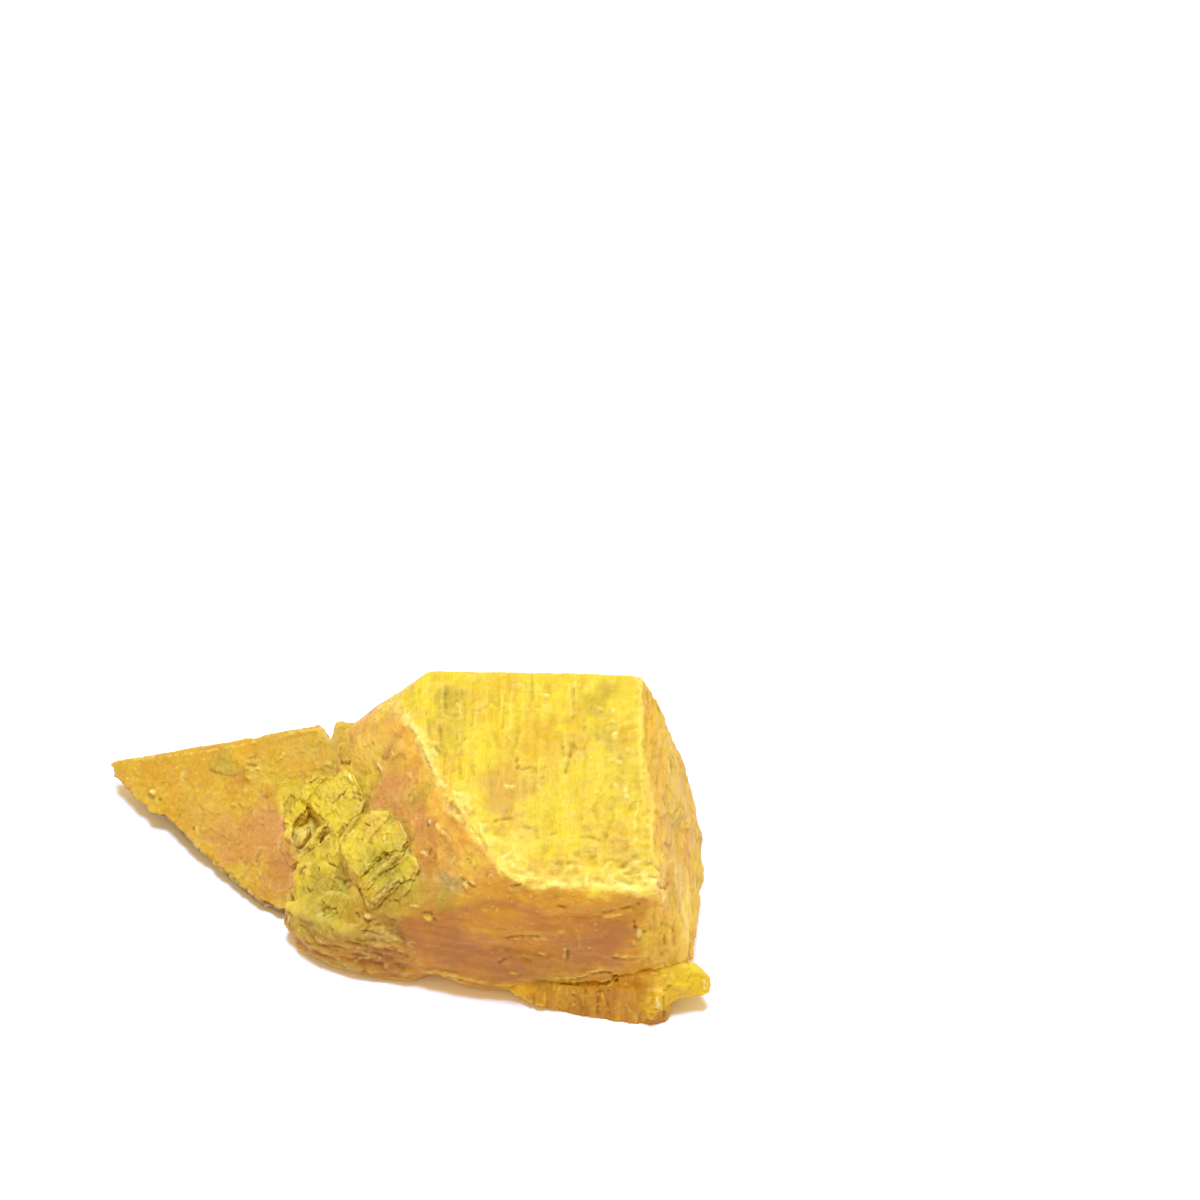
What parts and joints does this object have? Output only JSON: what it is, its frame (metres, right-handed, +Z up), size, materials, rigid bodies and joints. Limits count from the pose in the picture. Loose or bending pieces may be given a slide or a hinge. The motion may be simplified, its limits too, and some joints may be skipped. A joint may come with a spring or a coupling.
{
  "type": "orpiment specimen",
  "caption": "Rough cleavage lump of yellow orpiment: a blocky body, a thin tongue to one side, a crust of small plates where they meet, and a flat face to rest on.",
  "frame": {"origin": "centre of the bounding box, on the flat face that the stone rests on", "axes": "+X from the tip of the tongue to the nub at the far end, +Y to the back, +Z up"},
  "size_m": [0.0514, 0.0302, 0.0159],
  "materials": {
    "orpiment": "waxy to resinous cleaved mineral: lemon-yellow striated cleavage, golden-orange to salmon broken faces, greenish-yellow flaky crust"
  },
  "bodies": {
    "root": {"orpiment": "orpiment"}
  },
  "joints": []
}
